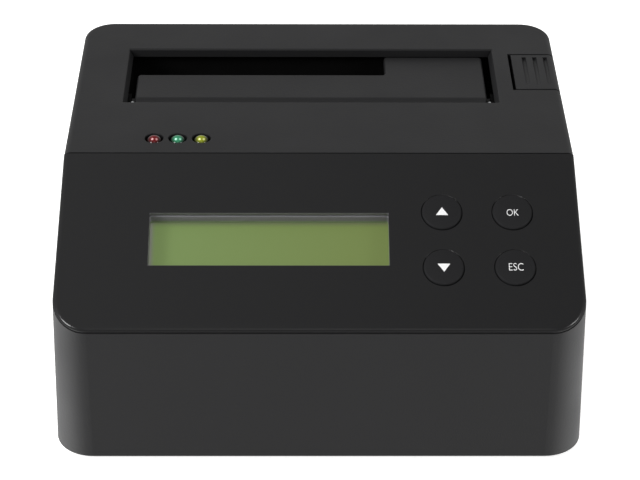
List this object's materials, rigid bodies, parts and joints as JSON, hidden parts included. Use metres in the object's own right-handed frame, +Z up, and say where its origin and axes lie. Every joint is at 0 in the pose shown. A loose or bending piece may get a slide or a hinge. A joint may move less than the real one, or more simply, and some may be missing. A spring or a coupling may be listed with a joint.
{
  "type": "hard drive eraser",
  "caption": "Standalone desktop drive eraser dock: slot with a sprung flap for a bare drive, eject button, indicator lamps, sloped panel with a character display and push keys",
  "frame": {"origin": "bottom centre of the bounding box, on the surface that the feet stand on", "axes": "+X to the right seen from the front, +Y to the back, +Z up; the display faces -Y"},
  "size_m": [0.1404, 0.1316, 0.0663],
  "materials": {
    "housing": "fine spark-eroded texture, matt black",
    "panel": "smooth satin black",
    "well": "plain matt black",
    "flap": "fine texture, matt black",
    "lever": "plain black",
    "key": "silky black",
    "rubber": "matt black rubber",
    "screw_black": "blackened steel",
    "steel": "zinc-plated steel",
    "spring_steel": "drawn spring wire",
    "plated_steel": "nickel-plated sheet",
    "contacts": "gold-plated contacts",
    "aluminium": "drawn aluminium can",
    "lens": "clear acrylic",
    "lcd": "yellow-green liquid crystal cell",
    "gasket": "grey foam",
    "sheet_black": "black lacquered sheet",
    "white_plastic": "white plastic",
    "board": "green circuit board",
    "black_plastic": "black plastic",
    "blue_plastic": "blue plastic",
    "chip": "black moulded package",
    "ribbon": "white flat cable",
    "rocker": "black rocker",
    "led_red": "red tinted resin",
    "led_green": "green tinted resin",
    "led_yellow": "yellow-green tinted resin"
  },
  "bodies": {
    "case": {"base_plate": "housing", "board_header": "black_plastic", "bridge_chip": "chip", "buzzer": "black_plastic", "capacitors": "aluminium", "case_screws": "screw_black", "control_panel": "panel", "controller_chip": "chip", "drive_well": "well", "eject_lever_pin": "steel", "eject_spring": "spring_steel", "flap_hinge_rod": "steel", "flap_spring": "spring_steel", "hinge_clips": "steel", "housing_shell": "housing", "key_board": "board", "key_switches": "black_plastic", "lcd_backlight": "white_plastic", "lcd_board": "board", "lcd_frame": "sheet_black", "lcd_gasket": "gasket", "lcd_glass": "lcd", "lcd_window": "lens", "led_board": "board", "led_green": "led_green", "led_holder": "black_plastic", "led_red": "led_red", "led_yellow": "led_yellow", "main_board": "board", "main_board_screws": "steel", "panel_screws": "steel", "power_inlet": "black_plastic", "power_inlet_pin": "steel", "ribbon_cable": "ribbon", "ribbon_sockets": "white_plastic", "rubber_feet": "rubber", "sata_board": "board", "sata_board_screws": "steel", "sata_connector": "black_plastic", "sata_contacts": "contacts", "serial_insert": "black_plastic", "serial_jack_posts": "plated_steel", "serial_pins": "contacts", "serial_shell": "plated_steel", "switch_body": "black_plastic", "usb_insert": "blue_plastic", "usb_shell": "plated_steel"},
    "flap": {"drive_flap": "flap"},
    "eject_button": {"eject_button": "housing"},
    "eject_lever": {"eject_lever": "lever"},
    "power_rocker": {"power_rocker": "rocker"},
    "up_key": {"up_key": "key", "up_key_plunger": "black_plastic"},
    "down_key": {"down_key": "key", "down_key_plunger": "black_plastic"},
    "ok_key": {"ok_key": "key", "ok_key_plunger": "black_plastic"},
    "esc_key": {"esc_key": "key", "esc_key_plunger": "black_plastic"}
  },
  "joints": [
    {"name": "flap_swing", "type": "hinge", "parent": "case", "child": "flap", "pos_m": [-0.002, 0.01324, 0.0612], "axis": [-1, 0, 0], "range_deg": [0, 88], "stiffness_Nm_per_rad": 0.01, "springref_deg": -22.92, "deforming": ["flap_spring"]},
    {"name": "eject_press", "type": "slide", "parent": "case", "child": "eject_button", "axis": [0, 0, -1], "range_m": [0, 0.005], "stiffness_N_per_m": 120, "springref_m": -0.004, "deforming": ["eject_spring"]},
    {"name": "eject_lever_tilt", "type": "hinge", "parent": "case", "child": "eject_lever", "pos_m": [0.046, 0.03824, 0.0165], "axis": [0, 1, 0], "range_deg": [0, 18.6]},
    {"name": "up_key_press", "type": "slide", "parent": "case", "child": "up_key", "axis": [0, 0.454, -0.891], "range_m": [0, 0.0005], "stiffness_N_per_m": 250, "springref_m": -0.001},
    {"name": "down_key_press", "type": "slide", "parent": "case", "child": "down_key", "axis": [0, 0.454, -0.891], "range_m": [0, 0.0005], "stiffness_N_per_m": 250, "springref_m": -0.001},
    {"name": "ok_key_press", "type": "slide", "parent": "case", "child": "ok_key", "axis": [0, 0.454, -0.891], "range_m": [0, 0.0005], "stiffness_N_per_m": 250, "springref_m": -0.001},
    {"name": "esc_key_press", "type": "slide", "parent": "case", "child": "esc_key", "axis": [0, 0.454, -0.891], "range_m": [0, 0.0005], "stiffness_N_per_m": 250, "springref_m": -0.001},
    {"name": "power_rock", "type": "hinge", "parent": "case", "child": "power_rocker", "pos_m": [-0.044, 0.06024, 0.0162], "axis": [0, 0, -1], "range_deg": [0, 16]}
  ],
  "couplings": [
    {"joint": "eject_lever_tilt", "follows": "eject_press", "rad_per_m": 64.5}
  ]
}
